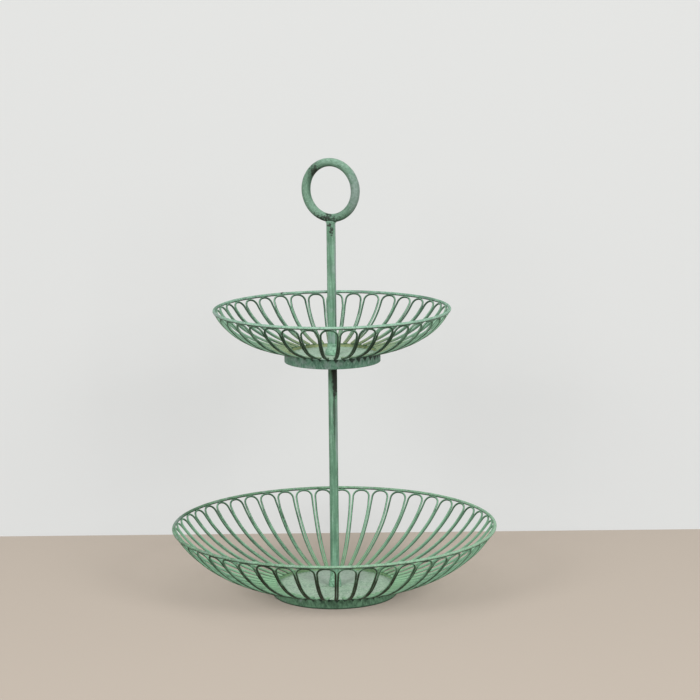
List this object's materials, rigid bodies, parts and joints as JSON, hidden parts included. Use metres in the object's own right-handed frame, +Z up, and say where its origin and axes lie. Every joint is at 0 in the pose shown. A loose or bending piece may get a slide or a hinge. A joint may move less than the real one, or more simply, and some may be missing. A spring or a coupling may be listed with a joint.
{
  "type": "tiered tray",
  "caption": "Tiered display tray: open wire bowls of bent loops stacked on a round rod, with a ring on top to carry it by.",
  "frame": {"origin": "centre of the object's underside, where the rod's axis meets the table", "axes": "+Z up along the rod, -Y towards the side that the picture shows, +X to its right"},
  "size_m": [0.4038, 0.4038, 0.5441],
  "materials": {
    "ring_paint": "matt brushed patina green, dark metal showing at the weld and inside the ring",
    "rod_paint": "matt brushed patina green with darker streaks along the rod",
    "rim_paint": "matt patina green, pale on top where it is dry-brushed",
    "loop_paint": "matt patina green over dark metal",
    "band_paint": "matt patina green, greyer than the rod",
    "plate_paint": "chalky pale green with beige mottling",
    "zinc_hardware": "zinc plated"
  },
  "bodies": {
    "root": {"ring_handle": "ring_paint", "upper_rod": "rod_paint", "lower_rod": "rod_paint", "upper_rod_ferrule": "rod_paint", "lower_rod_ferrule": "rod_paint", "upper_tray_rim": "rim_paint", "lower_tray_rim": "rim_paint", "upper_tray_band": "band_paint", "lower_tray_band": "band_paint", "upper_tray_plate": "plate_paint", "lower_tray_plate": "plate_paint", "joining_stud": "zinc_hardware", "base_screw": "zinc_hardware", "base_washer": "zinc_hardware", "upper_tray_washer": "zinc_hardware", "lower_tray_loop_pair_01": "loop_paint", "lower_tray_loop_pair_02": "loop_paint", "lower_tray_loop_pair_03": "loop_paint", "lower_tray_loop_pair_04": "loop_paint", "lower_tray_loop_pair_05": "loop_paint", "lower_tray_loop_pair_06": "loop_paint", "lower_tray_loop_pair_07": "loop_paint", "lower_tray_loop_pair_08": "loop_paint", "lower_tray_loop_pair_09": "loop_paint", "lower_tray_loop_pair_10": "loop_paint", "lower_tray_loop_pair_11": "loop_paint", "lower_tray_loop_pair_12": "loop_paint", "lower_tray_loop_pair_13": "loop_paint", "lower_tray_loop_pair_14": "loop_paint", "lower_tray_loop_pair_15": "loop_paint", "lower_tray_loop_pair_16": "loop_paint", "lower_tray_loop_pair_17": "loop_paint", "lower_tray_loop_pair_18": "loop_paint", "lower_tray_loop_pair_19": "loop_paint", "lower_tray_loop_pair_20": "loop_paint", "lower_tray_loop_pair_21": "loop_paint", "lower_tray_loop_pair_22": "loop_paint", "lower_tray_loop_pair_23": "loop_paint", "lower_tray_loop_pair_24": "loop_paint", "lower_tray_loop_pair_25": "loop_paint", "upper_tray_loop_pair_01": "loop_paint", "upper_tray_loop_pair_02": "loop_paint", "upper_tray_loop_pair_03": "loop_paint", "upper_tray_loop_pair_04": "loop_paint", "upper_tray_loop_pair_05": "loop_paint", "upper_tray_loop_pair_06": "loop_paint", "upper_tray_loop_pair_07": "loop_paint", "upper_tray_loop_pair_08": "loop_paint", "upper_tray_loop_pair_09": "loop_paint", "upper_tray_loop_pair_10": "loop_paint", "upper_tray_loop_pair_11": "loop_paint", "upper_tray_loop_pair_12": "loop_paint", "upper_tray_loop_pair_13": "loop_paint", "upper_tray_loop_pair_14": "loop_paint", "upper_tray_loop_pair_15": "loop_paint", "upper_tray_loop_pair_16": "loop_paint", "upper_tray_loop_pair_17": "loop_paint", "upper_tray_loop_pair_18": "loop_paint", "upper_tray_loop_pair_19": "loop_paint"}
  },
  "joints": []
}
